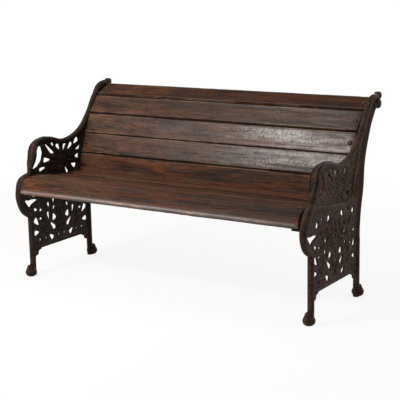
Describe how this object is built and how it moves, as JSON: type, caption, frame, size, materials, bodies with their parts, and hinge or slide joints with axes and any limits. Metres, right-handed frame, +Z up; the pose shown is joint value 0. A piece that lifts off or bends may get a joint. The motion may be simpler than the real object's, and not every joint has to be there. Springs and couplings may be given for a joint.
{
  "type": "cast iron garden bench",
  "caption": "Garden bench with pierced foliate cast iron ends, scrolled posts and leafed arms, and stained wooden boards bolted to ledges along the seat and the back.",
  "frame": {"origin": "on the ground, under the middle of the bench's bounding box", "axes": "+X along the bench, to the sitter's left, -Y towards the front of the seat, +Z up"},
  "size_m": [1.4928, 0.715, 0.8555],
  "materials": {
    "iron": "dark brown paint, worn to a dull sheen",
    "dark_wood": "dark brown varnish",
    "red_wood": "red brown varnish",
    "bolt_steel": "darkened",
    "zinc_steel": "dull zinc"
  },
  "bodies": {
    "root": {"end_casting_left": "iron", "end_casting_right": "iron", "back_board_1": "dark_wood", "back_board_2": "dark_wood", "back_board_3": "dark_wood", "back_board_4": "dark_wood", "lumbar_board": "red_wood", "seat_board_1": "dark_wood", "seat_board_2": "dark_wood", "seat_board_3": "dark_wood", "front_board": "red_wood", "bolts_back_board_1": "bolt_steel", "bolts_back_board_2": "bolt_steel", "bolts_back_board_3": "bolt_steel", "bolts_back_board_4": "bolt_steel", "bolts_lumbar_board": "bolt_steel", "bolts_seat_board_1": "bolt_steel", "bolts_seat_board_2": "bolt_steel", "bolts_seat_board_3": "bolt_steel", "bolts_front_board": "bolt_steel", "washers_back_board_1": "zinc_steel", "washers_back_board_2": "zinc_steel", "washers_back_board_3": "zinc_steel", "washers_back_board_4": "zinc_steel", "washers_lumbar_board": "zinc_steel", "washers_seat_board_1": "zinc_steel", "washers_seat_board_2": "zinc_steel", "washers_seat_board_3": "zinc_steel", "washers_front_board": "zinc_steel", "nuts_back_board_1": "zinc_steel", "nuts_back_board_2": "zinc_steel", "nuts_back_board_3": "zinc_steel", "nuts_back_board_4": "zinc_steel", "nuts_lumbar_board": "zinc_steel", "nuts_seat_board_1": "zinc_steel", "nuts_seat_board_2": "zinc_steel", "nuts_seat_board_3": "zinc_steel", "nuts_front_board": "zinc_steel"}
  },
  "joints": []
}
